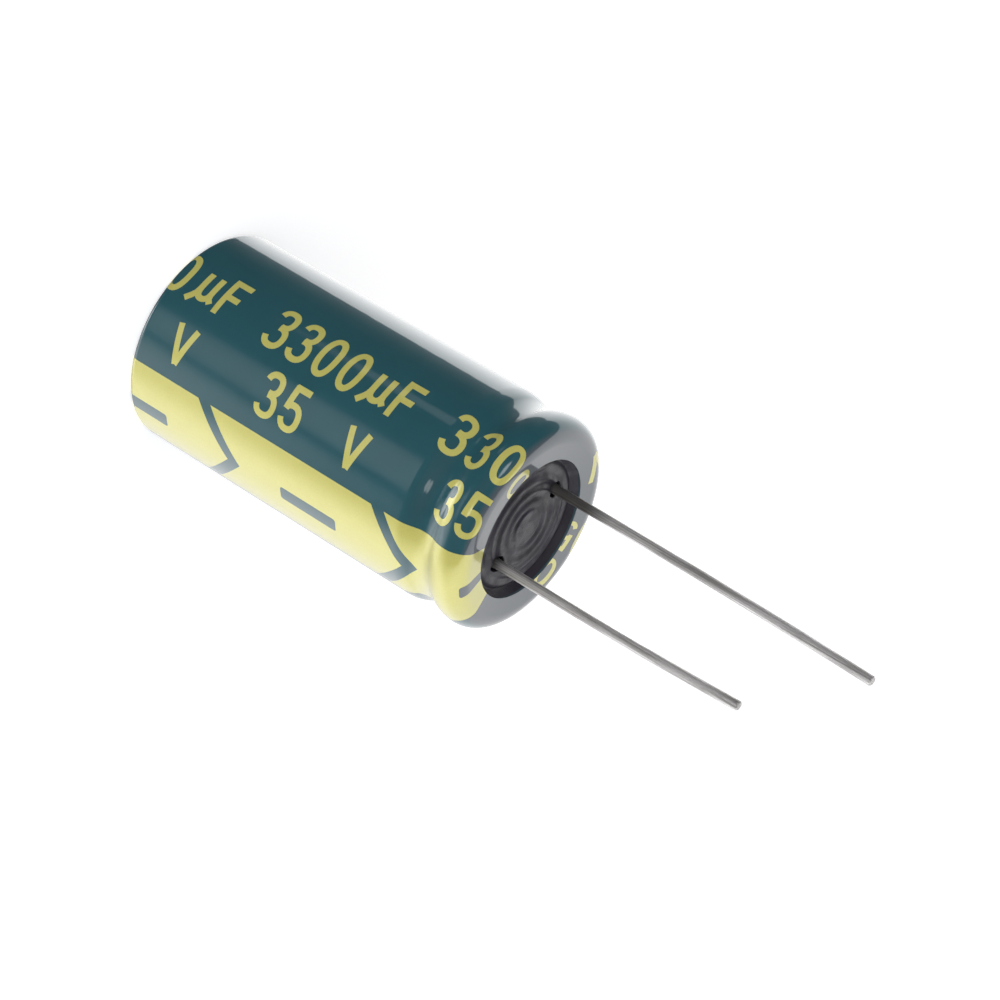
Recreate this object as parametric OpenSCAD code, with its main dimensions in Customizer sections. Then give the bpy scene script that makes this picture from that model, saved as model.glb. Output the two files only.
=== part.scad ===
// Radial aluminium electrolytic capacitor, standing on its closed end with its two leads up.
// Millimetres. The origin is the centre of the closed end. +Z runs along the leads and +X points
// from the negative lead to the positive one.

/* [Can] */
// Outside diameter of the bare can
can_d = 18; // [17:0.5:22]
// Height of the bare can from its closed end to the crest of its curled mouth
can_h = 34.3; // [32:0.1:45]
// Thickness of the can's wall and floor
can_wall = 0.3; // [0.2:0.05:0.5]
// Outside radius of the corner at the closed end
can_base_r = 0.4; // [0.2:0.1:1]
// Outside radius of the curled mouth
curl_r = 1.4; // [1:0.1:1.8]
// How far the curled lip reaches in from the outside of the can
lip_reach = 2; // [1.8:0.1:2.5]
// Slope of the curled lip down towards the axis, in degrees
lip_slope = 6; // [2:1:10]
// Length of straight wall between the rolled bead and the curled mouth
bead_gap = 0.05; // [0.05:0.05:0.6]
// Width of the rolled bead along the can
bead_w = 4.7; // [3.6:0.1:4.8]
// Depth of the rolled bead
bead_depth = 0.6; // [0.3:0.02:0.7]

/* [Pressure vent] */
// Length of each score across the closed end
vent_len = 9; // [6:0.5:12]
// Width of a score
vent_w = 0.5; // [0.3:0.1:0.8]
// Depth of a score
vent_depth = 0.12; // [0.05:0.01:0.15]

/* [Sleeve] */
// Thickness of the shrunk sleeve
sleeve_wall = 0.2; // [0.1:0.05:0.3]
// How far the sleeve reaches in over the mouth from the outside of the can
sleeve_reach = 2.97; // [2.6:0.01:3.2]
// Width of the ring that the sleeve turns in under the closed end
sleeve_foot = 2; // [1:0.1:4]

/* [Stripe print] */
// Thickness of the ink
ink_t = 0.05; // [0.03:0.01:0.08]
// Direction of the middle of the stripe, counted from the positive lead, in degrees
stripe_dir = 161; // [150:1:170]
// Width of the stripe along the sleeve's surface
stripe_w = 8.2; // [6:0.1:10]
// Distance along the sleeve at which the marks repeat
mark_pitch = 18.2; // [17:0.1:20]
// Height of the middle of the first dash above the closed end
dash_z = 1.4; // [1.2:0.1:2]
// Length of a dash
dash_len = 5.8; // [4:0.1:7]
// Width of a dash
dash_w = 1.3; // [0.8:0.1:1.6]
// Distance from the outside of the can in to the dash that lies on the curled mouth
rim_dash = 0.7; // [0.4:0.1:1.5]
// Height of the tip of the first arrow above the closed end
arrow_z = 12.3; // [11:0.1:13]
// Length of an arrow from its tip to the edge of the stripe
arrow_len = 3.5; // [3:0.1:5]
// Width of an arrow's stroke along the sleeve
arrow_w = 1.3; // [0.8:0.05:1.8]

/* [Seal] */
// Height of the rubber seal from its underside to its moulded rings
seal_h = 6.2; // [6:0.1:7]
// Distance from the crest of the bare can down to the tops of the moulded rings
face_drop = 0.3; // [0.2:0.05:0.6]
// Distance from the edge of the sleeve's opening in to the innermost moulded ring
ring_inset = 3.83; // [3.7:0.01:4]
// Distance from the edge of the sleeve's opening in to the outermost groove
rim_groove = 0.33; // [0.25:0.01:0.5]
// Number of moulded rings
ring_count = 4; // [3:1:5]
// Height of a moulded ring
ring_h = 0.14; // [0.1:0.02:0.2]
// How far the moulded face falls away towards the edge of the sleeve's opening
crown = 0.45; // [0.3:0.05:0.6]
// Width of the slope from the disc inside the rings down to the first groove
groove_w = 0.3; // [0.2:0.05:0.5]
// Hollow of the disc inside the rings
dish = 0.04; // [0:0.01:0.15]
// Room round each weld in its open well
well_gap = 0.2; // [0.15:0.05:0.3]

/* [Leads] */
// Distance between the leads
lead_pitch = 7.5; // [7:0.1:8]
// Diameter of a lead
lead_d = 0.8; // [0.6:0.05:1]
// Length of the positive lead beyond the crest of the bare can
positive_len = 29.6; // [20:0.1:40]
// Length of the negative lead beyond the crest of the bare can
negative_len = 22.4; // [20:0.1:40]
// Length of each lead that is straight, beyond the crest of the bare can
straight_len = 6; // [4:0.5:12]
// How far the tip of the positive lead bends towards the other lead
positive_lean = 0.35; // [0.1:0.05:0.6]
// How far the tip of the negative lead bends towards the other lead
negative_lean = 0.35; // [0.1:0.05:0.6]
// How far the weld at the foot of each lead stands out round it
weld_out = 0.1; // [0.05:0.05:0.2]
// Height of the weld
weld_h = 1.3; // [1:0.1:1.6]

/* [Tabs] */
// Diameter of the round post of a tab, which the seal grips
post_d = 2.2; // [2.2:0.1:2.6]
// Distance from the crest of the bare can down to the top of a post
post_drop = 1; // [0.9:0.1:1.4]
// Length of the taper between a post and its paddle
taper_len = 1.2; // [0.8:0.1:1.4]
// Thickness of a paddle
tab_t = 0.1; // [0.08:0.01:0.14]
// Width of a paddle
tab_w = 2.4; // [1.6:0.1:3]

/* [Winding] */
// Diameter of the hole at the middle of the winding
core_d = 3; // [2:0.1:4]
// Room between the separator papers and the underside of the seal
wind_drop = 2.3; // [1.9:0.1:6]
// Distance from the edge of a paper to the edge of a foil
foil_inset = 0.8; // [0.4:0.1:1.5]
// Thickness of the anode foil
anode_t = 0.1; // [0.08:0.01:0.12]
// Thickness of the cathode foil
cathode_t = 0.06; // [0.04:0.01:0.1]
// Thickness of a separator paper
paper_t = 0.08; // [0.04:0.01:0.1]
// Thickness of the tape round the winding
tape_t = 0.08; // [0.05:0.01:0.1]
// Distance from the edge of a paper to the edge of the tape
tape_inset = 2.6; // [0.6:0.1:6]
// Room between one layer and the next
layer_gap = 0.02; // [0.01:0.01:0.03]
// Least room between the winding and the can
wind_gap = 0.2; // [0.1:0.05:0.5]

/* [Hidden] */
$fn = 96;
// Segments in each rounded stretch of an outline
arc_steps = 6;
// Segments in the outline of each moulded ring
ring_steps = 8;
// How far a cutting tool passes beyond the surface that it cuts
cut = 1;

base_z = sleeve_wall;
crest_z = base_z + can_h;
can_r = can_d / 2;
floor_z = base_z + can_wall;
bore_r = can_r - can_wall;
lip_r = can_r - lip_reach;
mouth_r = can_r - sleeve_reach;
bead_z = crest_z - curl_r - bead_gap - bead_w / 2;

// The bead is an S on each side of its middle: two equal arcs that meet at bead_angle
bead_angle = 2 * atan(bead_depth / (bead_w / 2));
bead_r = bead_w / 4 / sin(bead_angle);

rings_z = crest_z - face_drop;
seal_z = rings_z - seal_h;
ring_r = mouth_r - ring_inset;
ring_pitch = (ring_inset - rim_groove) / (ring_count - 1 / 2);
weld_r = lead_d / 2 + weld_out;
post_z = crest_z - post_drop;
lead_x = lead_pitch / 2;

paper_h = seal_z - wind_drop - floor_z;
tape_h = paper_h - 2 * tape_inset;

// One pitch of the winding: a foil, room for its tab, a paper, and the same again
tab_room = tab_t + 2 * layer_gap;
cathode_at = anode_t + tab_room + paper_t + layer_gap;
wind_pitch = cathode_at + cathode_t + tab_room + paper_t + layer_gap;
core_r = core_d / 2;
half_turns = floor(2 * (bore_r - wind_gap - tape_t - core_r) / wind_pitch - 2);
foil_h = paper_h - 2 * foil_inset;
foil_z = floor_z + foil_inset;

sleeve_color = "#1f474b";
print_color = "#cdbd62";
metal_color = "#c9cbcc";
tin_color = "#9b9794";
rubber_color = "#26262a";
paper_color = "#e3d9bd";

// Points along an arc from angle a to angle b about the point c
function arc(c, r, a, b) =
    [for (i = [0 : arc_steps]) let (at = a + (b - a) * i / arc_steps) c + r * [cos(at), sin(at)]];

// Height of the lip's outer face at radius r, moved inwards by e
function lip_z(r, e) =
    crest_z - curl_r + (curl_r - e) / cos(lip_slope) - (can_r - curl_r - r) * tan(lip_slope);

// Outline of the can's outside, moved inwards by e, from the closed end up over the curled mouth
function wall_line(e) = concat(
    arc([can_r - can_base_r, base_z + can_base_r], max(can_base_r - e, can_wall / 10), -90, 0),
    arc([can_r - bead_r, bead_z - bead_w / 2], bead_r - e, 0, bead_angle),
    arc([can_r - bead_depth + bead_r, bead_z], bead_r + e, 180 + bead_angle, 180 - bead_angle),
    arc([can_r - bead_r, bead_z + bead_w / 2], bead_r - e, -bead_angle, 0),
    arc([can_r - curl_r, crest_z - curl_r], curl_r - e, 0, 90 + lip_slope));

// The same outline from the closed end's radius foot_r to the mouth's radius end_r
function shell_line(e, foot_r, end_r) =
    concat([[foot_r, base_z + e]], wall_line(e), [[end_r, lip_z(end_r, e)]]);

function reversed(points) = [for (i = [len(points) - 1 : -1 : 0]) points[i]];

// Solid of revolution between two outlines of the can, at the depths e_out and e_in
module shell(e_out, e_in, foot_r, end_r) {
    rotate_extrude()
        polygon(concat(shell_line(e_out, foot_r, end_r), reversed(shell_line(e_in, foot_r, end_r))));
}

module sleeve() {
    color(sleeve_color) shell(-sleeve_wall, 0, can_r - sleeve_foot, mouth_r);
}

// Prism through the stripe, drawn flat with x along the sleeve and y across the stripe
module stripe_cut(z) {
    rotate([0, 0, stripe_dir]) translate([mouth_r - 3 * cut, 0, z])
        rotate([0, 90, 0]) rotate([0, 0, 180]) linear_extrude(can_r) children();
}

// Angle that a width along the sleeve's surface takes up round the axis
function angle_of(w) = w / (can_r + sleeve_wall) * 180 / PI;

// An open arrow that points up the sleeve, from one edge of the stripe to the other
module arrow() {
    reach = stripe_w / 2 + cut;
    run = arrow_len * reach / (stripe_w / 2);
    polygon([[0, 0], [-run, reach], [-run - arrow_w, reach], [-arrow_w, 0],
        [-run - arrow_w, -reach], [-run, -reach]]);
}

module stripe_print() {
    span = angle_of(stripe_w);
    mark = angle_of(dash_w);
    outer = -sleeve_wall - ink_t;
    color(print_color) difference() {
        rotate([0, 0, stripe_dir - span / 2]) rotate_extrude(angle = span)
            polygon(concat(wall_line(outer), [[mouth_r, lip_z(mouth_r, outer)]],
                [[mouth_r, lip_z(mouth_r, -sleeve_wall)]], reversed(wall_line(-sleeve_wall))));
        translate([0, 0, -cut]) cylinder(r = can_d, h = cut + base_z);
        for (z = [dash_z : mark_pitch : crest_z]) stripe_cut(z) square([dash_len, dash_w], center = true);
        for (z = [arrow_z : mark_pitch : crest_z]) stripe_cut(z) arrow();
        rotate([0, 0, stripe_dir - mark / 2]) rotate_extrude(angle = mark)
            translate([lip_r - 3 * cut, crest_z - curl_r])
                square([can_r - rim_dash - lip_r + 3 * cut, 2 * curl_r]);
    }
}

module can() {
    color(metal_color) difference() {
        union() {
            shell(0, can_wall, can_r - can_base_r - can_wall, lip_r);
            translate([0, 0, base_z]) cylinder(r = can_r - can_base_r, h = can_wall);
        }
        for (turn = [0, 90]) rotate([0, 0, turn + 45]) translate([0, 0, base_z])
            cube([vent_len, vent_w, 2 * vent_depth], center = true);
    }
}

// Outline of the seal's moulded face, from the axis out to its outermost groove
function face_line() = concat(
    [[0, rings_z - dish], [ring_r - ring_pitch / 2 - groove_w, rings_z]],
    [for (i = [0 : ring_steps * ring_count]) let (r = ring_r + (i / ring_steps - 1 / 2) * ring_pitch)
        [r, rings_z - crown * pow(r / mouth_r, 4) - ring_h / 2 * (1 + cos(360 * i / ring_steps))]]);

// Radius of the can's bore at the height z
function bore_at(z) = lookup(z, [for (p = wall_line(can_wall)) if (p[0] > can_r - curl_r) [p[1], p[0]]]);

// The part of the can's bore that lies above the seal's underside
function seal_side() = [for (p = wall_line(can_wall)) if (p[1] > seal_z) p];

module seal() {
    color(rubber_color) difference() {
        rotate_extrude() polygon(concat([[0, seal_z], [bore_at(seal_z), seal_z]], seal_side(),
            [[lip_r, lip_z(lip_r, can_wall)], [lip_r, lip_z(lip_r, 0)], [mouth_r, lip_z(mouth_r, 0)]],
            reversed(face_line())));
        for (side = [-1, 1]) translate([side * lead_x, 0, 0]) {
            translate([0, 0, seal_z - cut]) cylinder(d = post_d, h = post_z - seal_z + cut);
            cylinder(r = weld_r + well_gap, h = crest_z + cut);
        }
    }
}

// A lead on the +X side: a flared weld, a straight length and an arc whose end leans towards the axis
module lead(len, lean) {
    bend_z = crest_z + straight_len;
    rest = len - straight_len;
    turn = 2 * atan(lean / rest);
    bend_r = rest / sin(turn);
    flare_r = (weld_h * weld_h + weld_out * weld_out) / (2 * weld_out);
    flare = asin(weld_h / flare_r);
    translate([lead_x, 0, post_z]) rotate_extrude()
        polygon(concat([[0, 0]],
            arc([lead_d / 2 + flare_r, weld_h], flare_r, 180 + flare, 180), [[0, weld_h]]));
    translate([lead_x, 0, post_z]) cylinder(d = lead_d, h = bend_z - post_z);
    translate([lead_x - bend_r, 0, bend_z]) rotate([90, 0, 0])
        rotate_extrude(angle = turn) translate([bend_r, 0]) circle(d = lead_d);
}

module positive_lead() {
    color(tin_color) lead(positive_len, positive_lean);
}

module negative_lead() {
    color(tin_color) mirror([1, 0, 0]) lead(negative_len, negative_lean);
}

// A tab: a round post through the seal that tapers to a paddle curved like the winding.
// The paddle's inner face has the radius r about a centre at the height y across the leads.
module tab(side, r, y) {
    dir = atan2(-y, side * lead_x);
    span = tab_w / r * 180 / PI;
    taper_z = seal_z - taper_len;
    flat_x = side * (r + tab_t / 2);
    intersection() {
        translate([side * lead_x, 0, taper_z]) cylinder(d = post_d, h = post_z - taper_z);
        rotate([90, 0, 0]) linear_extrude(2 * post_d, center = true)
            polygon([[flat_x - tab_t / 2, taper_z - cut], [flat_x + tab_t / 2, taper_z - cut],
                [flat_x + tab_t / 2, taper_z], [side * lead_x + post_d, seal_z],
                [side * lead_x + post_d, post_z + cut], [side * lead_x - post_d, post_z + cut],
                [side * lead_x - post_d, seal_z], [flat_x - tab_t / 2, taper_z]]);
    }
    translate([0, y, foil_z + foil_h / 4]) rotate([0, 0, dir - span / 2]) rotate_extrude(angle = span)
        translate([r, 0]) square([tab_t, seal_z - foil_z - foil_h / 4]);
}

// Radius of the room beside a foil at its half turn nearest to a post
function tab_r(foil_at, foil_t, odd) =
    let (first = core_r + foil_at + odd * wind_pitch / 2, edge = foil_t + layer_gap)
    first + wind_pitch * round((lead_x - first - edge - tab_t / 2) / wind_pitch) + edge;

module positive_tab() {
    color(metal_color) tab(1, tab_r(0, anode_t, 0), 0);
}

module negative_tab() {
    color(metal_color) tab(-1, tab_r(cathode_at, cathode_t, 1), -wind_pitch / 2);
}

// A layer of the winding: half turns about two centres in turn, each wider by half a pitch
module layer(at, t, z, h, first = 0, last = half_turns - 1) {
    for (k = [first : last]) translate([0, -(k % 2) * wind_pitch / 2, z])
        rotate([0, 0, k % 2 == 0 ? -90 : 90]) rotate_extrude(angle = 180)
            translate([core_r + at + k * wind_pitch / 2, 0]) square([t, h]);
}

module anode_foil() {
    color(metal_color) layer(0, anode_t, foil_z, foil_h);
}

module cathode_foil() {
    color(metal_color) layer(cathode_at, cathode_t, foil_z, foil_h);
}

module inner_separator() {
    color(paper_color) layer(anode_t + tab_room, paper_t, floor_z, paper_h);
}

module outer_separator() {
    color(paper_color) layer(wind_pitch - layer_gap - paper_t, paper_t, floor_z, paper_h);
}

module winding_tape() {
    color(print_color) layer(0, tape_t, floor_z + (paper_h - tape_h) / 2, tape_h,
        first = half_turns, last = half_turns + 1);
}

sleeve();
stripe_print();
can();
seal();
positive_lead();
negative_lead();
positive_tab();
negative_tab();
anode_foil();
cathode_foil();
inner_separator();
outer_separator();
winding_tape();
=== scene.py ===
# Radial electrolytic capacitor: a printed gloss sleeve over its can, a moulded rubber seal and two
# tinned leads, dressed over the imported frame. Lengths are millimetres here and metres in Blender.

import math

import bpy
from mathutils import Matrix, Vector
from mathutils.geometry import delaunay_2d_cdt


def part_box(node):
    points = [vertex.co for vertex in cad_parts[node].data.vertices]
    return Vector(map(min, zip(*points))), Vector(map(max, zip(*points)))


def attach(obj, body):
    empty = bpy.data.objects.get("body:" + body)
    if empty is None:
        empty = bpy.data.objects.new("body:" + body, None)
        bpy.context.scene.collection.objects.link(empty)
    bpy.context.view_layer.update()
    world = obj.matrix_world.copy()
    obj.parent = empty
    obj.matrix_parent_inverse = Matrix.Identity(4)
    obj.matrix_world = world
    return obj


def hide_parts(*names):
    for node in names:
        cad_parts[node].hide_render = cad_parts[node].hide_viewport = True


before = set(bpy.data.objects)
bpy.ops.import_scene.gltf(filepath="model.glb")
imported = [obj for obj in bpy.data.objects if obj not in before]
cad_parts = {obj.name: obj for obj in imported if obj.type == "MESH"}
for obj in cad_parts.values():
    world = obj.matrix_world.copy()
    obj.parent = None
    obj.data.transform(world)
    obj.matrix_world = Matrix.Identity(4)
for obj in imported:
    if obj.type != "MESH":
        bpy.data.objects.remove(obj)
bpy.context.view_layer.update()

MM = 0.001


def high(node):
    """Height of a node's top above the closed end."""
    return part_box(node)[1][2] / MM


# Can and sleeve
SLEEVE_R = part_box("sleeve")[1][0] / MM
SLEEVE_WALL = 0.2
CAN_R = SLEEVE_R - SLEEVE_WALL
CAN_WALL = 0.3
CREST_Z = 34.5
BASE_CORNER_R = 0.4
CURL_R = 1.4
LIP_SLOPE = math.radians(6)
MOUTH_R = 6.03
LIP_R = 7.0
FOOT_R = 7.0
BEAD_W = 4.7
BEAD_GAP = 0.05
BEAD_Z = CREST_Z - CURL_R - BEAD_GAP - BEAD_W / 2
BEAD_DEPTH = 0.6

# Seal, wells and leads
SEAL_Z = 28.0
RINGS_DROP = 0.3
RINGS_Z = CREST_Z - RINGS_DROP
RING_R = 2.2
RING_PITCH = 1.0
RING_COUNT = 4
RING_H = 0.14
CROWN = 0.45
GROOVE_W = 0.3
DISH = 0.04
LEAD_X = 3.75
LEAD_R = 0.4
WELL_R = 0.7
POST_R = 1.1
POST_DROP = 1
POST_Z = CREST_Z - POST_DROP
WELD_OUT = 0.1
WELD_H = 1.3
STRAIGHT_LEN = 6.0
LEAN = 0.35

# Print: distances along the sleeve (u) and round it (s, from the positive lead). A field runs past the edge
# that cuts it by the overhang.
MARK_PITCH = 18.2
STRIPE_S = math.radians(161) * SLEEVE_R
STRIPE_W = 8.2
DASH_U = 19.6
DASH_LEN = 5.8
DASH_W = 1.3
DASH_CORNER = 0.25
ARROW_U = 12.3
ARROW_LEN = 3.5
ARROW_W = 1.3
STROKE = 0.54
OVERHANG = 1

# Mesh: the seam, the girth and the sizes of the steps
SEAM_S = math.radians(30) * SLEEVE_R
GIRTH = 2 * math.pi * SLEEVE_R
COLUMNS = 240
ROW_STEP = 0.9
ARC_STEP = math.radians(4)
EDGE_STEP = 0.25

# Mesh: how close two points have to be to count as one
SHEET_MERGE = 1e-3
DISC_MERGE = 1e-6
ROW_SNAP = 1e-3
SNAP = 1e-4
SNAP_DIGITS = 4

# The wall's number in the sleeve's outline, and a nudge that rounds a half down
WALL_STRETCH = 2
HALF_DOWN = 1e-3


# Outlines

def straight(start, end):
    """A straight stretch of an outline: (length, place at a distance), each place with its normal."""
    length = math.dist(start, end)
    along = ((end[0] - start[0]) / length, (end[1] - start[1]) / length)

    def at(d):
        return (start[0] + along[0] * d, start[1] + along[1] * d, along[1], -along[0])
    return length, at, max(1, round(length / ROW_STEP))


def bend(centre, radius, start, end, outward=1):
    """A round stretch of an outline. outward is -1 where the surface is hollow."""
    turn = end - start
    length = abs(turn) * radius

    def at(d):
        angle = start + turn * d / length
        c, s = math.cos(angle), math.sin(angle)
        return (centre[0] + radius * c, centre[1] + radius * s, outward * c, outward * s)
    return length, at, max(3, round(abs(turn) / ARC_STEP))


def sleeve_outline(inset):
    """The sleeve's outline at a depth inside its outer face, from under the closed end to the mouth."""
    swell = SLEEVE_WALL - inset
    foot_z = inset
    base = (CAN_R - BASE_CORNER_R, SLEEVE_WALL + BASE_CORNER_R)
    bead_turn = 2 * math.atan(BEAD_DEPTH / (BEAD_W / 2))
    bead_r = BEAD_W / 4 / math.sin(bead_turn)
    low = (CAN_R - bead_r, BEAD_Z - BEAD_W / 2)
    middle = (CAN_R - BEAD_DEPTH + bead_r, BEAD_Z)
    top = (CAN_R - bead_r, BEAD_Z + BEAD_W / 2)
    curl = (CAN_R - CURL_R, CREST_Z - CURL_R)
    wall_r = CAN_R + swell
    curl_r = CURL_R + swell
    lip_turn = math.pi / 2 + LIP_SLOPE
    lip_start = (curl[0] + curl_r * math.cos(lip_turn), curl[1] + curl_r * math.sin(lip_turn))
    lip_end = (MOUTH_R, lip_start[1] - (lip_start[0] - MOUTH_R) * math.tan(LIP_SLOPE))
    return [
        straight((FOOT_R, foot_z), (base[0], foot_z)),
        bend(base, BASE_CORNER_R + swell, -math.pi / 2, 0),
        straight((wall_r, base[1]), (wall_r, low[1])),
        bend(low, bead_r + swell, 0, bead_turn),
        bend(middle, bead_r - swell, math.pi + bead_turn, math.pi - bead_turn, -1),
        bend(top, bead_r + swell, -bead_turn, 0),
        straight((wall_r, top[1]), (wall_r, curl[1])),
        bend(curl, curl_r, 0, lip_turn),
        straight(lip_start, lip_end),
    ]


class Outline:
    """A row of stretches that can be asked for the place and normal at a distance u along it."""

    def __init__(self, stretches):
        self.stretches = stretches
        self.starts = [0.0]
        for length, *_ in stretches:
            self.starts.append(self.starts[-1] + length)

    def start_stretch(self, number, u):
        """Shifts all the distances so that one stretch starts at u."""
        self.starts = [start - self.starts[number] + u for start in self.starts]

    def rows(self):
        """The distances at which the mesh has a row of points."""
        found = []
        for (length, _, steps), start in zip(self.stretches, self.starts):
            found += [start + length * i / steps for i in range(steps)]
        return found + [self.starts[-1]]

    def at(self, u):
        for (length, at, _), start in zip(self.stretches, self.starts):
            if u <= start + length:
                return at(max(0.0, u - start))
        return at(length)


# Lettering: generic numbers and units, drawn as strokes with x along the sleeve and y up the letter

def bowl(cx, cy, rx, ry, start, end, steps=20, squareness=2.3):
    """Points round a squarish oval, from one angle to another, in degrees."""
    points = []
    for i in range(steps + 1):
        angle = math.radians(start + (end - start) * i / steps)
        c, s = math.cos(angle), math.sin(angle)
        points.append((
            cx + rx * math.copysign(abs(c) ** (2 / squareness), c),
            cy + ry * math.copysign(abs(s) ** (2 / squareness), s)))
    return points


GLYPHS = {
    "0": [bowl(1.03, 1.95, 0.72, 1.66, 95, -95), bowl(1.03, 1.95, 0.72, 1.66, 85, 275)],
    "3": [bowl(1.0, 2.85, 0.7, 0.77, 170, -100), bowl(1.0, 1.13, 0.78, 0.85, 100, -170)],
    "5": [
        [(0.4, 3.6), (1.9, 3.6)],
        [(0.6, 3.75), (0.38, 1.75)],
        bowl(1.0, 1.25, 0.78, 0.97, 140, -168)],
    "1": [[(0.45, 2.95), (0.85, 3.15), (1.15, 3.55)], [(1.2, 3.9), (1.2, 0.0)]],
    "µ": [
        [(1.0, 3.05), (1.0, 1.5), (0.92, 1.0), (0.7, 0.6), (0.3, 0.1)],
        bowl(1.58, 1.45, 0.57, 0.75, 180, 360),
        [(2.15, 3.05), (2.15, 1.35), (2.25, 0.95), (2.55, 0.62)]],
    "F": [[(0.27, 3.77), (0.27, 0.2)], [(0.0, 3.5), (1.8, 3.5)], [(0.1, 1.98), (1.6, 1.98)]],
    "V": [[(0.22, 3.3), (1.1, 0.05)], [(1.98, 3.3), (1.1, 0.05)]],
}

# Each row: the height of its foot on the sleeve (s) and its glyphs, each at its distance u
CAPACITY = (("3", 10.15), ("3", 12.65), ("0", 15.22), ("0", 17.73), ("µ", 20.1), ("F", 23.15))
TEXT_ROWS = (
    (15.4, CAPACITY),
    (20.4, (("3", 12.65), ("5", 15.15), ("V", 21.4))),
    (44.3, CAPACITY),
    (49.3, (("1", 13.6), ("0", 15.7), ("5", 18.2))),
    (57.2, (("3", 9.6), ("5", 12.1), ("V", 16.1))),
)


def ribbon(points, width):
    """The outline of a stroke of that width along the points."""
    left, right = [], []
    for i, (x, y) in enumerate(points):
        x0, y0 = points[max(i - 1, 0)]
        x1, y1 = points[min(i + 1, len(points) - 1)]
        reach = math.hypot(x1 - x0, y1 - y0)
        nx, ny = -(y1 - y0) / reach * width / 2, (x1 - x0) / reach * width / 2
        left.append((x + nx, y + ny))
        right.append((x - nx, y - ny))
    return left + right[::-1]


def box_outline(x0, y0, x1, y1):
    return [(x0, y0), (x1, y0), (x1, y1), (x0, y1)]


def rounded_box(x0, y0, x1, y1, radius, steps=5):
    """The outline of a box with rounded corners."""
    centres = (
        (x1 - radius, y1 - radius), (x0 + radius, y1 - radius),
        (x0 + radius, y0 + radius), (x1 - radius, y0 + radius))
    points = []
    for quarter, (cx, cy) in enumerate(centres):
        for i in range(steps + 1):
            angle = math.pi / 2 * (quarter + i / steps)
            points.append((cx + radius * math.cos(angle), cy + radius * math.sin(angle)))
    return points


def subdivided(polygon, step):
    """The same polygon with points no further apart than step."""
    points = []
    for (x0, y0), (x1, y1) in zip(polygon, polygon[1:] + polygon[:1]):
        parts = max(1, math.ceil(math.hypot(x1 - x0, y1 - y0) / step))
        points += [(x0 + (x1 - x0) * i / parts, y0 + (y1 - y0) * i / parts) for i in range(parts)]
    return points


def anticlockwise(polygon):
    """The same polygon, turned the way round that marks its inside."""
    area = sum(x0 * y1 - x1 * y0 for (x0, y0), (x1, y1) in zip(polygon, polygon[1:] + polygon[:1]))
    return polygon if area > 0 else polygon[::-1]


def print_fields(low_u, high_u):
    """The print, unrolled: (s, u) outlines of gold fields, and of the clear marks inside them."""
    gold, clear = [], []
    edge = STRIPE_W / 2
    gold.append(box_outline(STRIPE_S - edge, low_u - OVERHANG, STRIPE_S + edge, high_u + OVERHANG))
    for copy in (-2, -1, 0, 1, 2):
        shift = copy * MARK_PITCH
        for foot_s, glyphs in TEXT_ROWS:
            for name, start_u in glyphs:
                for stroke in GLYPHS[name]:
                    gold.append([(foot_s - y, start_u + shift + x) for x, y in ribbon(stroke, STROKE)])
        clear.append(rounded_box(
            STRIPE_S - DASH_W / 2, DASH_U + shift - DASH_LEN / 2,
            STRIPE_S + DASH_W / 2, DASH_U + shift + DASH_LEN / 2, DASH_CORNER))
        tip = ARROW_U + shift
        reach = edge + OVERHANG
        foot = tip - ARROW_LEN * reach / edge
        clear.append([
            (STRIPE_S, tip), (STRIPE_S + reach, foot), (STRIPE_S + reach, foot - ARROW_W),
            (STRIPE_S, tip - ARROW_W), (STRIPE_S - reach, foot - ARROW_W), (STRIPE_S - reach, foot)])

    def near(polygon):
        return max(u for s, u in polygon) > low_u and min(u for s, u in polygon) < high_u
    return [anticlockwise(p) for p in gold if near(p)], [anticlockwise(p) for p in clear if near(p)]


# Meshes

def new_object(name, points, faces, normals=None, materials=(), face_materials=None):
    """A mesh object in metres from points in millimetres. normals holds one normal for each face corner."""
    mesh = bpy.data.meshes.new(name)
    mesh.from_pydata([(x * MM, y * MM, z * MM) for x, y, z in points], [], faces)
    for material in materials:
        mesh.materials.append(material)
    if face_materials:
        mesh.polygons.foreach_set("material_index", face_materials)
    mesh.polygons.foreach_set("use_smooth", [True] * len(mesh.polygons))
    mesh.update()
    if normals:
        mesh.normals_split_custom_set([n for face in normals for n in face])
    obj = bpy.data.objects.new(name, mesh)
    bpy.context.scene.collection.objects.link(obj)
    return obj


def triangulate(points, edges, faces, merge):
    """Flat triangles between the points, cut along the edges and faces: the points, the triangles, and for
    each triangle the faces that it lies in."""
    whole_hull = 0
    result = delaunay_2d_cdt([Vector(p) for p in points], edges, faces, whole_hull, merge)
    return result[0], result[2], result[5]


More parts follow.
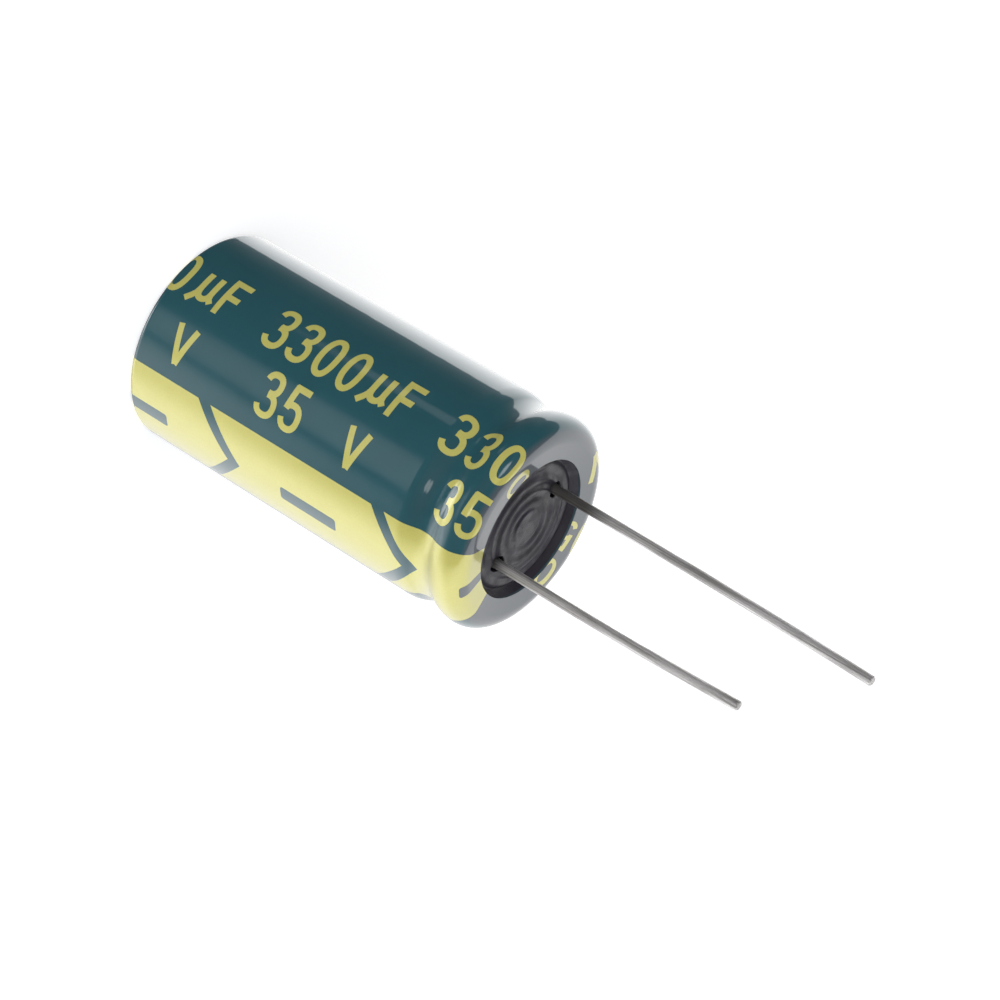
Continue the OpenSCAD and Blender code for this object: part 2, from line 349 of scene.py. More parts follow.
def unrolled_sheet(rows, polygons):
    """Triangles of the unrolled sleeve between its first and last row, cut along the polygons.

    Gives the points (s, u), the triangles, and for each triangle the polygons that it lies in.
    """
    low_u, high_u = rows[0], rows[-1]
    points, faces = [], []
    for polygon in polygons:
        first = len(points)
        points += subdivided(polygon, EDGE_STEP)
        faces.append(list(range(first, len(points))))
    border = {}
    for j, u in enumerate(rows):
        for i in range(COLUMNS + 1):
            border[i, j] = len(points)
            points.append((SEAM_S + GIRTH * i / COLUMNS, u))
    last = len(rows) - 1
    edges = [(border[i, j], border[i + 1, j]) for j in (0, last) for i in range(COLUMNS)]
    edges += [(border[i, j], border[i, j + 1]) for i in (0, COLUMNS) for j in range(last)]
    found, triangles, inside = triangulate(points, edges, faces, SHEET_MERGE)
    kept, fields = [], []
    for triangle, members in zip(triangles, inside):
        s = sum(found[k].x for k in triangle) / 3
        u = sum(found[k].y for k in triangle) / 3
        if SEAM_S < s < SEAM_S + GIRTH and low_u < u < high_u:
            kept.append(tuple(triangle))
            fields.append(members)
    return [(p.x, p.y) for p in found], kept, fields


def printed_sleeve(film, ink):
    """The sleeve as a closed shell whose outer face is cut along the print."""
    outer = Outline(sleeve_outline(0))
    outer.start_stretch(WALL_STRETCH, BASE_CORNER_R + SLEEVE_WALL)
    inner = Outline(sleeve_outline(SLEEVE_WALL))
    rows = outer.rows()
    gold, clear = print_fields(rows[0], rows[-1])
    sheet, triangles, fields = unrolled_sheet(rows, gold + clear)

    points, place_of, normal_of = [], {}, []

    def place(outline, u, angle):
        r, z, nr, nz = outline.at(u)
        c, s = math.cos(angle), math.sin(angle)
        return (r * c, r * s, z), (nr * c, nr * s, nz)

    index = {}
    for k in sorted({k for t in triangles for k in t}):
        s, u = sheet[k]
        if s > SEAM_S + GIRTH - SNAP:
            s -= GIRTH
        key = (round(s, SNAP_DIGITS), round(u, SNAP_DIGITS))
        if key not in place_of:
            place_of[key] = len(points)
            point, normal = place(outer, u, s / SLEEVE_R)
            points.append(point)
            normal_of.append(normal)
        index[k] = place_of[key]

    faces, normals, paints = [], [], []
    for triangle, members in zip(triangles, fields):
        face = tuple(index[k] for k in triangle)
        if len(set(face)) < 3:
            continue
        printed = any(m < len(gold) for m in members) and not any(m >= len(gold) for m in members)
        faces.append(face)
        normals.append([normal_of[k] for k in face])
        paints.append(1 if printed else 0)

    def loop(u):
        return sorted((s, k) for (s, v), k in place_of.items() if abs(v - u) < ROW_SNAP)

    low_loop, high_loop = loop(rows[0]), loop(rows[-1])

    def add_ring(u):
        ring = []
        for i in range(COLUMNS):
            point, normal = place(inner, u, SEAM_S / SLEEVE_R + 2 * math.pi * i / COLUMNS)
            ring.append(len(points))
            points.append(point)
            normal_of.append((-normal[0], -normal[1], -normal[2]))
        return ring

    rings = [add_ring(u) for u in inner.rows()]
    for below, above in zip(rings, rings[1:]):
        for i in range(COLUMNS):
            j = (i + 1) % COLUMNS
            face = (below[i], above[i], above[j], below[j])
            faces.append(face)
            normals.append([normal_of[k] for k in face])
            paints.append(0)

    def close(border, ring, flip, normal_at):
        """Joins a border of the outer face, which has more points, to a ring of the inner one."""
        start = 0
        for n, (_, k) in enumerate(border):
            s_next, k_next = border[(n + 1) % len(border)]
            if n + 1 == len(border):
                s_next += GIRTH
            reach = round((s_next - SEAM_S) / GIRTH * COLUMNS - HALF_DOWN)
            reach = max(start, min(reach, COLUMNS))
            fan = [k, k_next] + [ring[i % COLUMNS] for i in range(reach, start - 1, -1)]
            start = reach
            face = tuple(fan[::-1] if flip else fan)
            faces.append(face)
            normals.append([normal_at(points[v]) for v in face])
            paints.append(0)

    close(high_loop, rings[-1], False, lambda p: (-p[0] / MOUTH_R, -p[1] / MOUTH_R, 0))
    close(low_loop, rings[0], True, lambda p: (-p[0] / FOOT_R, -p[1] / FOOT_R, 0))
    obj = new_object("printed_sleeve", points, faces, normals, (film, ink), paints)
    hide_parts("sleeve", "stripe_print")
    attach(obj, "root")


class Solid:
    """Collects the points, faces and corner normals of one closed mesh."""

    def __init__(self):
        self.points = []
        self.faces = []
        self.normals = []

    def ring(self, centre, radius, z, count):
        """Adds a level circle of points and gives their numbers."""
        first = len(self.points)
        for i in range(count):
            angle = 2 * math.pi * i / count
            x = centre[0] + radius * math.cos(angle)
            y = centre[1] + radius * math.sin(angle)
            self.points.append((x, y, z))
        return list(range(first, first + count))

    def face(self, corners, normals):
        self.faces.append(tuple(corners))
        self.normals.append([tuple(n) for n in normals])

    def band(self, below, above, normal_below, normal_above, flip=False):
        """Joins two rings with quads. The normals are functions of a point."""
        for i in range(len(below)):
            j = (i + 1) % len(below)
            corners = [below[i], below[j], above[j], above[i]]
            normals = [normal_below(self.points[k]) for k in corners[:2]]
            normals += [normal_above(self.points[k]) for k in corners[2:]]
            if flip:
                corners, normals = corners[::-1], normals[::-1]
            self.face(corners, normals)


def radial(centre, r_part, z_part):
    """A normal that leans out from an upright axis by r_part and up by z_part."""
    size = math.hypot(r_part, z_part)

    def normal(point):
        x, y = point[0] - centre[0], point[1] - centre[1]
        reach = math.hypot(x, y) or 1.0
        return (x / reach * r_part / size, y / reach * r_part / size, z_part / size)
    return normal


def flat(z_part):
    return lambda point: (0.0, 0.0, z_part)


# Seal

SEAL_COLUMNS = 144
WELL_COLUMNS = 48
WELL_EDGE = 0.1
FACE_STEP = 0.11
NORMAL_STEP = 0.004
HOLE_CLEAR = 0.03
WELLS = ((-LEAD_X, 0.0), (LEAD_X, 0.0))
LIP_UNDER_Z = CREST_Z - CURL_R + CURL_R / math.cos(LIP_SLOPE)


def lip_z(r):
    """Height of the outer face of the can's lip at a radius."""
    return LIP_UNDER_Z - (CAN_R - CURL_R - r) * math.tan(LIP_SLOPE)


def seal_height(x, y):
    """Height of the seal's moulded face: a dished disc, rings that fall away outwards, an outer groove and
    rounded wells."""
    r = math.hypot(x, y)
    crown = RINGS_Z - CROWN * (r / MOUTH_R) ** 4
    first_groove = RING_R - RING_PITCH / 2
    last_groove = first_groove + RING_COUNT * RING_PITCH
    disc_r = first_groove - GROOVE_W
    if r < disc_r:
        z = RINGS_Z - DISH * (1 - (r / disc_r) ** 2)
    elif r < first_groove:
        z = crown - RING_H * (1 - math.cos(math.pi * (r - disc_r) / GROOVE_W)) / 2
    elif r < last_groove:
        z = crown - RING_H * (1 + math.cos(2 * math.pi * (r - first_groove) / RING_PITCH)) / 2
    else:
        low = RINGS_Z - CROWN * (last_groove / MOUTH_R) ** 4 - RING_H
        z = low + (lip_z(MOUTH_R) - low) * (r - last_groove) / (MOUTH_R - last_groove)
    for well in WELLS:
        near = WELL_R + WELL_EDGE - math.dist((x, y), well)
        if near > 0:
            z -= WELL_EDGE * (1 - math.sqrt(max(0.0, 1 - (near / WELL_EDGE) ** 2)))
    return z


def seal_normal(point):
    x, y = point[0], point[1]
    step = NORMAL_STEP
    nx = (seal_height(x - step, y) - seal_height(x + step, y)) / (2 * step)
    ny = (seal_height(x, y - step) - seal_height(x, y + step)) / (2 * step)
    size = math.sqrt(nx * nx + ny * ny + 1)
    return (nx / size, ny / size, 1 / size)


def disc_with_holes(radii, hole_rings):
    """Flat triangles of a disc with a round hole at each well. hole_rings holds the radii of the rings of
    points round a hole, its own edge first."""
    points = [(0.0, 0.0)]
    faces = []
    for well in WELLS:
        for n, radius in enumerate(hole_rings):
            first = len(points)
            for i in range(WELL_COLUMNS):
                angle = 2 * math.pi * i / WELL_COLUMNS
                points.append((well[0] + radius * math.cos(angle), well[1] + radius * math.sin(angle)))
            if n == 0:
                faces.append(list(range(first, first + WELL_COLUMNS)))
    for n, r in enumerate(radii):
        first = len(points)
        for i in range(SEAL_COLUMNS):
            angle = 2 * math.pi * i / SEAL_COLUMNS
            x, y = r * math.cos(angle), r * math.sin(angle)
            clear = all(math.dist((x, y), well) > hole_rings[-1] + HOLE_CLEAR for well in WELLS)
            if clear or n + 1 == len(radii):
                points.append((x, y))
    border = list(range(len(points) - SEAL_COLUMNS, len(points)))
    edges = list(zip(border, border[1:] + border[:1]))
    found, triangles, inside = triangulate(points, edges, faces, DISC_MERGE)
    kept = [tuple(t) for t, members in zip(triangles, inside) if not members]
    return [(p.x, p.y) for p in found], kept


def add_disc(solid, radii, hole_rings, height, normal, flip=False):
    """Adds such a disc to a solid, and gives its outer ring and the ring of each hole, in order of angle."""
    flat_points, triangles = disc_with_holes(radii, hole_rings)
    first = len(solid.points)
    solid.points += [(x, y, height(x, y)) for x, y in flat_points]
    for t in triangles:
        corners = [first + k for k in (t[::-1] if flip else t)]
        solid.face(corners, [normal(solid.points[k]) for k in corners])

    def ring_at(centre, radius):
        found = []
        for k, (x, y) in enumerate(flat_points):
            if abs(math.dist((x, y), centre) - radius) < SNAP:
                angle = math.atan2(y - centre[1], x - centre[0]) % (2 * math.pi)
                found.append((round(angle, SNAP_DIGITS) % round(2 * math.pi, SNAP_DIGITS), first + k))
        return [k for _, k in sorted(found)]
    return ring_at((0, 0), radii[-1]), [ring_at(well, hole_rings[0]) for well in WELLS]


def seal(material):
    """The rubber seal: a moulded face with two open wells, the groove that the can's bead presses in, and
    the bores that grip the tabs' posts."""
    solid = Solid()
    count = round(MOUTH_R / FACE_STEP)
    radii = [MOUTH_R * (i + 1) / count for i in range(count)]
    well_rings = (WELL_R, WELL_R + WELL_EDGE / 3, WELL_R + WELL_EDGE, WELL_R + 2 * WELL_EDGE)
    face_ring, well_tops = add_disc(solid, radii, well_rings, seal_height, seal_normal)
    bore = Outline(sleeve_outline(SLEEVE_WALL + CAN_WALL))
    side = [bore.at(u) for u in bore.rows()]
    side = [(r, z, nr, nz) for r, z, nr, nz in side if z > SEAL_Z and r > LIP_R]
    shoulder = solid.ring((0, 0), LIP_R, lip_z(LIP_R), SEAL_COLUMNS)
    solid.band(shoulder, face_ring, flat(1), flat(1))
    above, above_normal = shoulder, radial((0, 0), -1, 0)
    below = solid.ring((0, 0), LIP_R, lip_z(LIP_R) - CAN_WALL, SEAL_COLUMNS)
    solid.band(below, above, above_normal, above_normal)
    above, above_normal = below, flat(1)
    for r, z, nr, nz in reversed(side):
        below = solid.ring((0, 0), r, z, SEAL_COLUMNS)
        normal = radial((0, 0), nr, nz)
        solid.band(below, above, normal, above_normal)
        above, above_normal = below, normal
    outward = radial((0, 0), 1, 0)
    bottom_radii = [(CAN_R - CAN_WALL) * part for part in (0.25, 0.5, 0.75, 1)]
    bottom_ring, post_rings = add_disc(
        solid, bottom_radii, (POST_R,), lambda x, y: SEAL_Z, flat(-1), flip=True)
    solid.band(bottom_ring, above, outward, outward)
    for well, top, bottom in zip(WELLS, well_tops, post_rings):
        inward = radial(well, -1, 0)
        seat = solid.ring(well, WELL_R, POST_Z, WELL_COLUMNS)
        step = solid.ring(well, POST_R, POST_Z, WELL_COLUMNS)
        solid.band(seat, top, inward, inward, flip=True)
        solid.band(step, seat, flat(-1), flat(-1), flip=True)
        solid.band(bottom, step, inward, inward, flip=True)
    obj = new_object("moulded_seal", solid.points, solid.faces, solid.normals, (material,))
    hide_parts("seal")
    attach(obj, "root")


# Leads

LEAD_COLUMNS = 40
LEAD_STEP = 0.4
TIP_BEVEL = 0.1
TIP_PINCH = 0.82
FLARE_STEPS = 6


def lead(name, side, node, material):
    """A tinned lead: its weld in the well, a straight length, a slight bend inwards and a cut end."""
    top = high(node)
    bend_z = CREST_Z + STRAIGHT_LEN
    rest = top - bend_z
    turn = 2 * math.atan(LEAN / rest)
    bend_r = rest / math.sin(turn)
    flare_r = (WELD_H ** 2 + WELD_OUT ** 2) / (2 * WELD_OUT)
    flare = math.asin(WELD_H / flare_r)
    weld_top = POST_Z + WELD_H
    stations = []
    for i in range(FLARE_STEPS + 1):
        angle = flare * (1 - i / FLARE_STEPS)
        radius = LEAD_R + flare_r * (1 - math.cos(angle))
        stations.append((weld_top - flare_r * math.sin(angle), radius, math.sin(angle)))
    count = round((top - weld_top) / LEAD_STEP)
    length = top - TIP_BEVEL - weld_top
    stations += [(weld_top + length * (i + 1) / count, LEAD_R, 0.0) for i in range(count)]
    stations.append((top, LEAD_R * TIP_PINCH, 1.0))

    def centre_x(z):
        if z <= bend_z:
            return LEAD_X
        return LEAD_X - bend_r * (1 - math.sqrt(1 - ((z - bend_z) / bend_r) ** 2))

    solid = Solid()
    rings, ring_normals = [], []
    for z, radius, lean in stations:
        centre = (side * centre_x(z), 0.0)
        rings.append(solid.ring(centre, radius, z, LEAD_COLUMNS))
        ring_normals.append(radial(centre, 1, lean))
    for n in range(len(rings) - 1):
        sharp = n == len(rings) - 2
        low_normal = ring_normals[n + 1] if sharp else ring_normals[n]
        solid.band(rings[n], rings[n + 1], low_normal, ring_normals[n + 1])
    solid.face(rings[-1], [(0, 0, 1)] * LEAD_COLUMNS)
    solid.face(rings[0][::-1], [(0, 0, -1)] * LEAD_COLUMNS)
    obj = new_object(name, solid.points, solid.faces, solid.normals, (material,))
    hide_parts(node)
    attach(obj, "root")


# Materials

NOISE_ROUGHNESS = 0.55
SPECK_CORE = 0.7


class Nodes:
    """Short names for the few shader nodes that the materials are made of."""

    def __init__(self, tree):
        self.tree = tree
        tree.nodes.clear()

    def add(self, kind, **settings):
        node = self.tree.nodes.new(kind)
        for key, value in settings.items():
            setattr(node, key, value)
        return node

    def put(self, socket, value):
        """Sets a socket to a number or a colour, or links it to an output."""
        if isinstance(value, bpy.types.NodeSocket):
            self.tree.links.new(value, socket)
        else:
            socket.default_value = value

    def math(self, operation, a, b=0.0):
        node = self.add("ShaderNodeMath", operation=operation)
        self.put(node.inputs[0], a)
        self.put(node.inputs[1], b)
        return node.outputs[0]

    def dot(self, vector, direction):
        node = self.add("ShaderNodeVectorMath", operation="DOT_PRODUCT")
        self.put(node.inputs[0], vector)
        node.inputs[1].default_value = direction
        return node.outputs["Value"]

    def coordinate(self, place, number):
        """One coordinate of a place in millimetres: 0, 1 or 2 for x, y or z."""
        return self.dot(place, [1 / MM if k == number else 0 for k in range(3)])

    def ramp(self, value, low, high, out_low=0.0, out_high=1.0):
        """Goes smoothly from out_low to out_high as value goes from low to high."""
        node = self.add("ShaderNodeMapRange", interpolation_type="SMOOTHSTEP")
        self.put(node.inputs["Value"], value)
        ends = {"From Min": low, "From Max": high, "To Min": out_low, "To Max": out_high}
        for key, number in ends.items():
            node.inputs[key].default_value = number
        return node.outputs["Result"]

    def noise(self, coordinates, scale, detail=3.0, stretch=(1, 1, 1)):
        """Noise whose scale is in cells to the millimetre, drawn out along the axes by stretch."""
        mapping = self.add("ShaderNodeMapping")
        self.put(mapping.inputs["Vector"], coordinates)
        mapping.inputs["Scale"].default_value = [scale / MM / part for part in stretch]
        node = self.add("ShaderNodeTexNoise")
        self.put(node.inputs["Vector"], mapping.outputs["Vector"])
        node.inputs["Scale"].default_value = 1.0
        node.inputs["Detail"].default_value = detail
        node.inputs["Roughness"].default_value = NOISE_ROUGHNESS
        return node.outputs["Fac"]

    def specks(self, coordinates, pitch, size, share):
        """1 inside small round specks about pitch apart, of which only a share are there, in millimetres."""
        mapping = self.add("ShaderNodeMapping")
        self.put(mapping.inputs["Vector"], coordinates)
        mapping.inputs["Scale"].default_value = [1 / pitch / MM] * 3
        cells = self.add("ShaderNodeTexVoronoi")
        self.put(cells.inputs["Vector"], mapping.outputs["Vector"])
        cells.inputs["Scale"].default_value = 1.0
        edge = size / pitch
        spot = self.ramp(cells.outputs["Distance"], edge * SPECK_CORE, edge, 1.0, 0.0)
        chosen = self.math("LESS_THAN", self.dot(cells.outputs["Color"], (1, 0, 0)), share)
        return self.math("MULTIPLY", spot, chosen)

    def mix(self, share, a, b):
        node = self.add("ShaderNodeMix", data_type="RGBA")
        self.put(node.inputs["Factor"], share)
        self.put(node.inputs["A"], a)
        self.put(node.inputs["B"], b)
        return node.outputs["Result"]

    def bump(self, height, depth):
        """A bump whose height of 1 stands for a depth in millimetres."""
        node = self.add("ShaderNodeBump")
        node.inputs["Strength"].default_value = 1.0
        node.inputs["Distance"].default_value = depth * MM
        self.put(node.inputs["Height"], height)
        return node.outputs["Normal"]


def colour(r, g, b):
    """A colour given as it looks, from 0 to 255, as the linear value that a shader takes."""
    def linear(value):
        value /= 255
        return value / 12.92 if value <= 0.04045 else ((value + 0.055) / 1.055) ** 2.4
    return (linear(r), linear(g), linear(b), 1.0)


def principled(name, **inputs):
    """A material with one Principled shader: its node helper, the shader, and the object's coordinates."""
    material = bpy.data.materials.new(name)
    material.use_nodes = True
    nodes = Nodes(material.node_tree)
    output = nodes.add("ShaderNodeOutputMaterial")
    shader = nodes.add("ShaderNodeBsdfPrincipled")
    nodes.put(output.inputs["Surface"], shader.outputs["BSDF"])
    for key, value in inputs.items():
        shader.inputs[key.replace("_", " ")].default_value = value
    place = nodes.add("ShaderNodeTexCoord").outputs["Object"]
    return material, nodes, shader, place


FILM_GLOSS = {"Coat_Weight": 1.0, "Coat_Roughness": 0.02, "Coat_IOR": 1.5}
# Heights between which the film turns greyer and lighter over the crest and the flat lip
GREYER_FROM = CREST_Z - 0.3
GREYER_TO = CREST_Z + 0.1
# Radius from which the seal's rubber turns lighter towards its rim
LIGHTER_FROM = 3.2


def film_bump(nodes, place):
    """The faint waviness of shrunk film."""
    return nodes.bump(nodes.noise(place, 0.35, 2.0), 0.012)


def film_material():
    """Dark gloss film with specks of dust, greyer and lighter over the crest and the flat lip at the mouth.
    """
    material, nodes, shader, place = principled(
        "gloss_film", Roughness=0.42, Metallic=0.0, Specular_IOR_Level=0.3, **FILM_GLOSS)
    tone = nodes.mix(nodes.noise(place, 0.3), colour(28, 78, 88), colour(33, 86, 96))
    # greyer and lighter over the crest and the flat lip, by height
    greyer_at_mouth = nodes.ramp(nodes.coordinate(place, 2), GREYER_FROM, GREYER_TO, 0.0, 0.9)
    tone = nodes.mix(greyer_at_mouth, tone, colour(86, 91, 99))
    dust = nodes.specks(place, 2.6, 0.09, 0.22)
    nodes.put(shader.inputs["Base Color"], nodes.mix(dust, tone, colour(150, 175, 182)))
    nodes.put(shader.inputs["Coat Normal"], film_bump(nodes, place))
    return material


def ink_material():
    """Pale gold ink with a fine grain, under the gloss of the film."""
    material, nodes, shader, place = principled(
        "gold_ink", Roughness=0.4, Metallic=0.25, Specular_IOR_Level=0.5, **FILM_GLOSS)
    tone = nodes.mix(nodes.noise(place, 0.5), colour(207, 202, 105), colour(215, 210, 117))
    grain = nodes.noise(place, 9.0, 2.0)
    tone = nodes.mix(nodes.ramp(grain, 0.35, 0.75, 0.0, 0.2), tone, colour(188, 176, 88))
    nodes.put(shader.inputs["Base Color"], tone)
    nodes.put(shader.inputs["Coat Normal"], film_bump(nodes, place))
    return material


def rubber_material():
    """Mottled, slightly worn rubber with fine pores and specks of dust, lighter from the middle out towards
    its rim.
    """
    material, nodes, shader, place = principled("seal_rubber", Specular_IOR_Level=0.35)
    mottle = nodes.ramp(nodes.noise(place, 0.6, 4.0), 0.3, 0.7)
    tone = nodes.mix(mottle, colour(14, 11, 21), colour(36, 32, 45))
    x, y = nodes.coordinate(place, 0), nodes.coordinate(place, 1)
    squares = nodes.math("ADD", nodes.math("MULTIPLY", x, x), nodes.math("MULTIPLY", y, y))
    radius = nodes.math("SQRT", squares)
    # lighter with radius, towards the rim
    tone = nodes.mix(nodes.ramp(radius, LIGHTER_FROM, MOUTH_R, 0.0, 0.85), tone, colour(54, 51, 60))
    dust = nodes.specks(place, 0.9, 0.05, 0.12)
    nodes.put(shader.inputs["Base Color"], nodes.mix(dust, tone, colour(120, 118, 120)))
    wear = nodes.noise(place, 0.9, 5.0)
    nodes.put(shader.inputs["Roughness"], nodes.ramp(wear, 0.35, 0.65, 0.32, 0.56))
    pores = nodes.noise(place, 7.0, 4.0)
    nodes.put(shader.inputs["Normal"], nodes.bump(pores, 0.02))
    return material


def wire_material(name, dark_below, clear_above):
    """Drawn, tinned wire that is darker from the seal up to one height and clears by another."""
    material, nodes, shader, place = principled(name, Metallic=0.6, Specular_IOR_Level=0.5)
    streaks = nodes.noise(place, 7.0, 3.0, (1, 1, 70))
    patches = nodes.noise(place, 1.2, 3.0, (1, 1, 4))
    tone = nodes.mix(nodes.ramp(streaks, 0.35, 0.65), colour(156, 153, 152), colour(226, 224, 224))
    tone = nodes.mix(nodes.ramp(patches, 0.45, 0.7, 0.0, 0.4), tone, colour(144, 141, 138))
    # darker towards the seal, clearing between the two heights
    darker_base = nodes.ramp(nodes.coordinate(place, 2), dark_below, clear_above, 0.85, 0.0)
    tone = nodes.mix(darker_base, tone, colour(58, 56, 52))
    nodes.put(shader.inputs["Base Color"], tone)
    nodes.put(shader.inputs["Roughness"], nodes.ramp(patches, 0.3, 0.7, 0.4, 0.52))
    nodes.put(shader.inputs["Normal"], nodes.bump(streaks, 0.012))
    return material


def can_material():
    """Satin aluminium with fine lines from drawing."""
    material, nodes, shader, place = principled("drawn_aluminium", Metallic=1.0)
    lines = nodes.noise(place, 6.0, 3.0, (1, 1, 30))
    nodes.put(shader.inputs["Base Color"], nodes.mix(lines, colour(196, 198, 200), colour(224, 225, 227)))
    nodes.put(shader.inputs["Roughness"], nodes.ramp(lines, 0.2, 0.8, 0.26, 0.4))
    nodes.put(shader.inputs["Normal"], nodes.bump(lines, 0.004))
    return material


def foil_material():
    """Matt foil, pitted by etching."""
    material, nodes, shader, place = principled("etched_foil", Metallic=1.0)
    etch = nodes.noise(place, 14.0, 4.0)
    nodes.put(shader.inputs["Base Color"], nodes.mix(etch, colour(150, 151, 154), colour(184, 185, 188)))
    nodes.put(shader.inputs["Roughness"], nodes.ramp(etch, 0.3, 0.7, 0.5, 0.66))
    nodes.put(shader.inputs["Normal"], nodes.bump(etch, 0.01))
    return material


def paper_material():
    """Absorbent paper with visible fibres."""
    material, nodes, shader, place = principled("separator_paper", Roughness=0.75)
    fibres = nodes.noise(place, 5.0, 5.0, (1, 1, 3))
    tone = nodes.mix(fibres, colour(206, 190, 152), colour(232, 220, 188))
    nodes.put(shader.inputs["Base Color"], tone)
    nodes.put(shader.inputs["Normal"], nodes.bump(fibres, 0.02))
    return material


def tape_material():
    """Thin amber film tape."""
    material, nodes, shader, place = principled("winding_tape", Roughness=0.3, Coat_Weight=0.5)
    mottle = nodes.noise(place, 1.5, 3.0)
    nodes.put(shader.inputs["Base Color"], nodes.mix(mottle, colour(196, 160, 84), colour(216, 184, 110)))
    return material


def dress(node, material):
    """Gives a carried-over CAD node its material."""
    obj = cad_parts[node]
    obj.data.materials.clear()
    obj.data.materials.append(material)


# Studio

CAMERA_AT = (-53.597, 193.885, 132.626)
CAMERA_VIEW = (0.24079, -0.85932, -0.45120)
CAMERA_UP = (0.76391, 0.45457, -0.45806)
CAMERA_LENS = 104.64
FLOOR_SIZE = 6000.0
FLOOR_COLOUR = colour(236, 236, 238)
FLOOR_GLOW = 0.6


def camera():
    data = bpy.data.cameras.new("camera")
    data.lens = CAMERA_LENS
    data.sensor_width = 36
    data.clip_start = 0.005
    data.clip_end = 20
    obj = bpy.data.objects.new("camera", data)
    bpy.context.scene.collection.objects.link(obj)
    back = -Vector(CAMERA_VIEW).normalized()
    right = Vector(CAMERA_UP).cross(back).normalized()
    up = back.cross(right)
    turn = Matrix((right, up, back)).transposed().to_4x4()
    obj.matrix_world = Matrix.Translation(Vector(CAMERA_AT) * MM) @ turn
    bpy.context.scene.camera = obj


def floor():
    """A plain white floor that keeps the shadow. It stays out of reflections, which show the studio."""
    half = FLOOR_SIZE / 2
    corners = [(-half, -half, 0), (half, -half, 0), (half, half, 0), (-half, half, 0)]
    material = bpy.data.materials.new("floor")
    material.use_nodes = True
    nodes = Nodes(material.node_tree)
    paper = nodes.add("ShaderNodeBsdfDiffuse")
    paper.inputs["Color"].default_value = FLOOR_COLOUR
    glow = nodes.add("ShaderNodeEmission")
    seen = nodes.add("ShaderNodeLightPath").outputs["Is Camera Ray"]
    nodes.put(glow.inputs["Strength"], nodes.math("MULTIPLY", seen, FLOOR_GLOW))
    both = nodes.add("ShaderNodeAddShader")
    nodes.put(both.inputs[0], paper.outputs[0])
    nodes.put(both.inputs[1], glow.outputs[0])
    nodes.put(nodes.add("ShaderNodeOutputMaterial").inputs["Surface"], both.outputs[0])
    obj = new_object("floor", corners, [(0, 1, 2, 3)], materials=(material,))
    obj.visible_glossy = False


def direction(azimuth, elevation):
    """The unit vector at an azimuth from +X towards +Y and an elevation, in degrees."""
    a, e = math.radians(azimuth), math.radians(elevation)
    return (math.cos(a) * math.cos(e), math.sin(a) * math.cos(e), math.sin(e))


# What gloss and metal reflect. A ramp (azimuth, elevation, from, to, low, high) goes from low to high as the
# cosine between a ray and that direction goes between the two bounds. A level of 1 is white.
UPPER_EDGE = (-98, -19.3, -0.01, 0.01, 0, 1)
RIGHT_EDGE = (-86, 26, -0.01, 0.01, 0, 1)
LEFT_HALF = (190, 0, 0, 0.1, 0, 1)
FAR_END = (-60, 0, -0.7, -0.15, 0, 1)
BRIGHT_SIDE = (-25, -27, 0.6, 1, 0, 0.75)
UPPER_FADE = (0, 90, -0.3, 0.2, 1, 0.76)
LOWER_FADE = (0, 90, -0.85, -0.5, 0.4, 1)
SWEEP_CENTRE = (-76.7, -30)
CENTRE_LEVEL = 0.8
LEVEL_RISE = 2.2
WINDOW = (119, -24, 0.94, 0.99, 0, 1.1)
WINDOW_TOP = (0, 90, -0.475, -0.44, 1, 0)
ROOM_LEVEL = 0.07
LAMPS = (
    (155, -45, 0.94, 0.996, 0, 1.8),
    (138, -72, 0.97, 0.992, 0, 4.5),
    (185, -54, 0.94, 0.988, 0, 1.2),
    (121, 24, 0.9914, 0.998, 0, 4.0),
    (58, 52, 0.985, 0.997, 0, 6.0),
    (54, -27.5, 0.9954, 0.9994, 0, 0.9),
)

# The soft light that falls on every surface
SOFT_LIGHT = (120, -5, 0.3, 1, 0.5, 3.1)


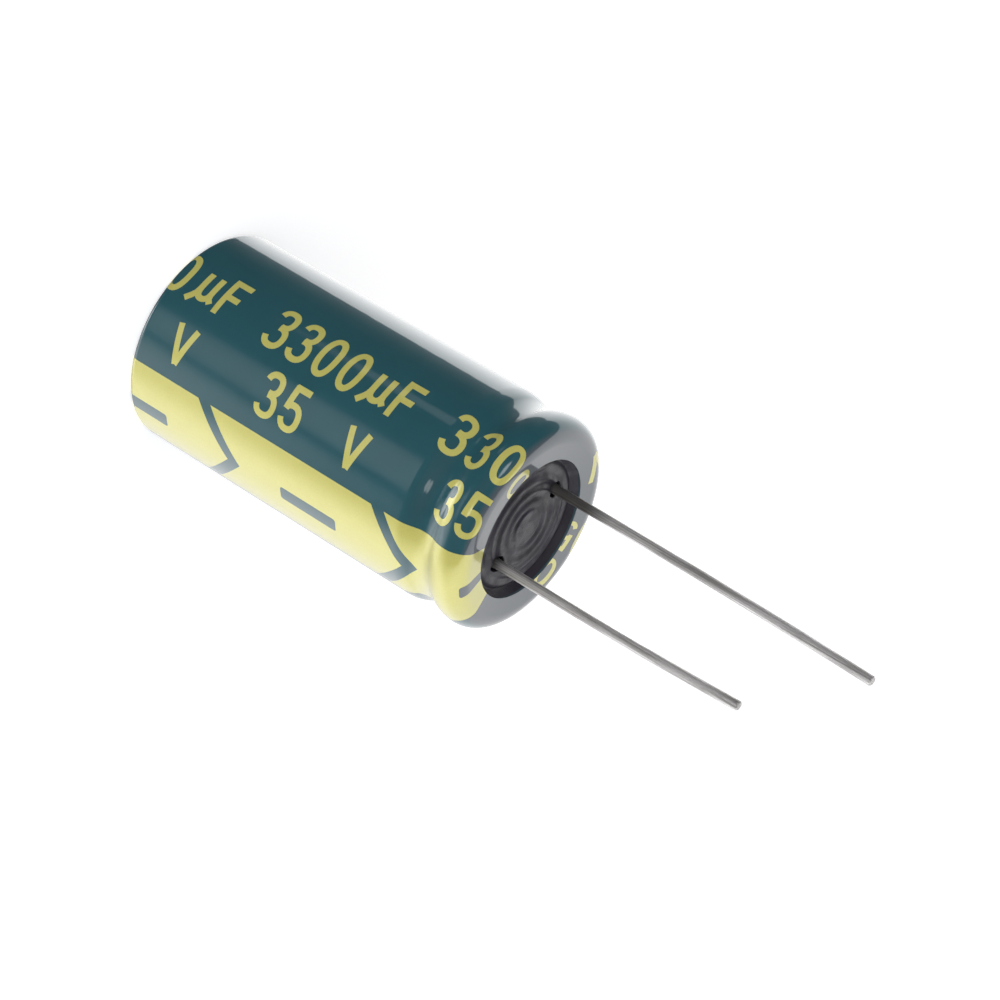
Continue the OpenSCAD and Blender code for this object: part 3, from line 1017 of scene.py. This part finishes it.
def studio():
    """The world: soft light on every surface, and for gloss and metal a white sweep behind the object, a
    dark room in front of it with a window cut off at its top, and a few small lamps."""
    world = bpy.data.worlds.new("studio")
    bpy.context.scene.world = world
    world.use_nodes = True
    nodes = Nodes(world.node_tree)
    ray = nodes.add("ShaderNodeTexCoord").outputs["Generated"]

    def toward(azimuth, elevation, *bounds):
        return nodes.ramp(nodes.dot(ray, direction(azimuth, elevation)), *bounds)

    off_centre = nodes.math("SUBTRACT", 1.0, nodes.dot(ray, direction(*SWEEP_CENTRE)))
    rise = nodes.math("MULTIPLY", LEVEL_RISE, nodes.math("SQRT", off_centre))
    sweep = nodes.math("ADD", CENTRE_LEVEL, rise)
    sweep = nodes.math("ADD", sweep, toward(*BRIGHT_SIDE))
    side_edge = nodes.math("MAXIMUM", toward(*RIGHT_EDGE), toward(*LEFT_HALF))
    for part in (toward(*UPPER_FADE), toward(*LOWER_FADE), toward(*UPPER_EDGE), side_edge, toward(*FAR_END)):
        sweep = nodes.math("MULTIPLY", sweep, part)
    window = nodes.math("MULTIPLY", toward(*WINDOW), toward(*WINDOW_TOP))
    seen = nodes.math("ADD", sweep, nodes.math("ADD", window, ROOM_LEVEL))
    for lamp in LAMPS:
        seen = nodes.math("ADD", seen, toward(*lamp))
    soft = toward(*SOFT_LIGHT)
    path = nodes.add("ShaderNodeLightPath")
    strength = nodes.add("ShaderNodeMix", data_type="FLOAT")
    nodes.put(strength.inputs["Factor"], path.outputs["Is Glossy Ray"])
    nodes.put(strength.inputs["A"], soft)
    nodes.put(strength.inputs["B"], seen)
    plain = nodes.add("ShaderNodeMix", data_type="FLOAT")
    nodes.put(plain.inputs["Factor"], path.outputs["Is Camera Ray"])
    nodes.put(plain.inputs["A"], strength.outputs["Result"])
    plain.inputs["B"].default_value = 1.0
    light = nodes.add("ShaderNodeBackground")
    nodes.put(light.inputs["Strength"], plain.outputs["Result"])
    nodes.put(nodes.add("ShaderNodeOutputWorld").inputs["Surface"], light.outputs[0])
    world.cycles.sampling_method = "NONE"


bpy.context.scene.view_settings.view_transform = "Standard"
camera()
floor()
studio()
printed_sleeve(film_material(), ink_material())
seal(rubber_material())
positive_tin = wire_material("positive_tin", dark_below=CREST_Z + 2.5, clear_above=CREST_Z + 6)
negative_tin = wire_material("negative_tin", dark_below=CREST_Z - 0.8, clear_above=CREST_Z + 1)
lead("tinned_positive_lead", 1, "positive_lead", positive_tin)
lead("tinned_negative_lead", -1, "negative_lead", negative_tin)
aluminium, paper = can_material(), paper_material()
for node in ("can", "positive_tab", "negative_tab", "cathode_foil"):
    dress(node, aluminium)
dress("anode_foil", foil_material())
for node in ("inner_separator", "outer_separator"):
    dress(node, paper)
dress("winding_tape", tape_material())
